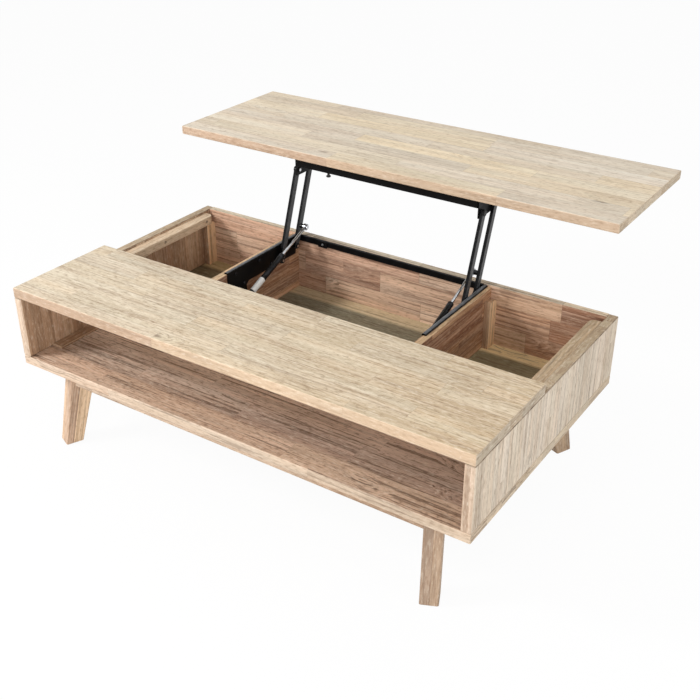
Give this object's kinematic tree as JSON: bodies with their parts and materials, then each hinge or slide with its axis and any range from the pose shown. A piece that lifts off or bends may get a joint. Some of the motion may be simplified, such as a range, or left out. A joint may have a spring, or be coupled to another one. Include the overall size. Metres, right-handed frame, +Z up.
{
  "type": "lift top coffee table",
  "caption": "Low solid wood coffee table with an open front niche, a fixed front deck and a rear lift top on steel parallelogram arms with gas springs",
  "frame": {"origin": "on the floor, below the middle of the table's box with the lift top raised", "axes": "+X along the table to the right seen from the open niche, +Y from the niche to the back, +Z up"},
  "size_m": [1.2, 0.9994, 0.6252],
  "materials": {
    "deck_wood": "whitewashed, brushed and oiled hardwood lamellas",
    "carcass_wood": "whitewashed hardwood lamellas, satin",
    "leg_wood": "laminated hardwood, satin",
    "dowel_wood": "plain beech",
    "black_steel": "semi-gloss black powder coat",
    "zinc_steel": "zinc plated",
    "polished_steel": "ground and polished",
    "white_band": "plain unprinted label film",
    "black_rubber": "matt",
    "felt": "pressed felt"
  },
  "bodies": {
    "carcass": {"bottom_panel": "carcass_wood", "left_side_panel": "carcass_wood", "right_side_panel": "carcass_wood", "back_panel": "carcass_wood", "niche_partition": "carcass_wood", "front_deck": "deck_wood", "left_divider": "carcass_wood", "right_divider": "carcass_wood", "left_top_cleat": "carcass_wood", "right_top_cleat": "carcass_wood", "left_niche_batten": "carcass_wood", "right_niche_batten": "carcass_wood", "left_corner_post": "carcass_wood", "right_corner_post": "carcass_wood", "left_divider_post": "carcass_wood", "right_divider_post": "carcass_wood", "front_left_leg": "leg_wood", "front_right_leg": "leg_wood", "back_left_leg": "leg_wood", "back_right_leg": "leg_wood", "front_leg_rail": "leg_wood", "back_leg_rail": "leg_wood", "foot_glides": "felt", "leg_hanger_bolts": "zinc_steel", "leg_insert_nuts": "zinc_steel", "leg_dowels": "dowel_wood", "rail_dowels": "dowel_wood", "upright_dowels": "dowel_wood", "deck_dowels": "dowel_wood", "cleat_screws": "zinc_steel", "left_base_plate": "black_steel", "right_base_plate": "black_steel", "base_plate_screws": "black_steel", "rear_cross_tube": "black_steel", "tube_clip": "black_steel", "front_base_pins": "black_steel", "rear_base_pins": "black_steel", "base_spacers": "black_steel", "lower_gas_studs": "zinc_steel"},
    "rear_arms": {"left_rear_arm": "black_steel", "right_rear_arm": "black_steel", "upper_gas_studs": "zinc_steel"},
    "front_arms": {"left_front_arm": "black_steel", "right_front_arm": "black_steel"},
    "lift_top": {"lift_top_panel": "deck_wood", "left_top_bracket": "black_steel", "right_top_bracket": "black_steel", "bracket_screws": "black_steel", "front_top_pins": "black_steel", "rear_top_pins": "black_steel", "upper_cross_tube": "black_steel", "rubber_buffer": "black_rubber"},
    "gas_rods": {"left_gas_rod": "polished_steel", "right_gas_rod": "polished_steel", "rod_end_eyes": "zinc_steel"},
    "gas_cylinders": {"left_gas_cylinder": "black_steel", "right_gas_cylinder": "black_steel", "tube_end_sockets": "black_steel", "gas_tube_bands": "white_band"}
  },
  "joints": [
    {"name": "lift", "type": "hinge", "parent": "carcass", "child": "rear_arms", "pos_m": [0, 0.14276, 0.3535], "axis": [1, 0, 0], "range_deg": [0, 109.1]},
    {"name": "front_arm_follow", "type": "hinge", "parent": "carcass", "child": "front_arms", "pos_m": [0, 0.07876, 0.3355], "axis": [1, 0, 0], "range_deg": [0, 109.1]},
    {"name": "top_level", "type": "hinge", "parent": "rear_arms", "child": "lift_top", "pos_m": [0, 0.22004, 0.5767], "axis": [1, 0, 0], "range_deg": [-109.1, 0]},
    {"name": "gas_rod_turn", "type": "hinge", "parent": "rear_arms", "child": "gas_rods", "pos_m": [0, 0.16026, 0.40405], "axis": [1, 0, 0], "range_deg": [-114.76, 0]},
    {"name": "gas_stroke", "type": "slide", "parent": "gas_rods", "child": "gas_cylinders", "axis": [0, 0.9273, 0.3742], "range_m": [0, 0.08377]}
  ],
  "couplings": [
    {"joint": "front_arm_follow", "follows": "lift", "ratio": 1},
    {"joint": "top_level", "follows": "lift", "ratio": -1},
    {"joint": "gas_rod_turn", "follows": "lift", "ratio": -1.0518},
    {"joint": "gas_stroke", "follows": "lift", "m_per_rad": 0.04399}
  ]
}
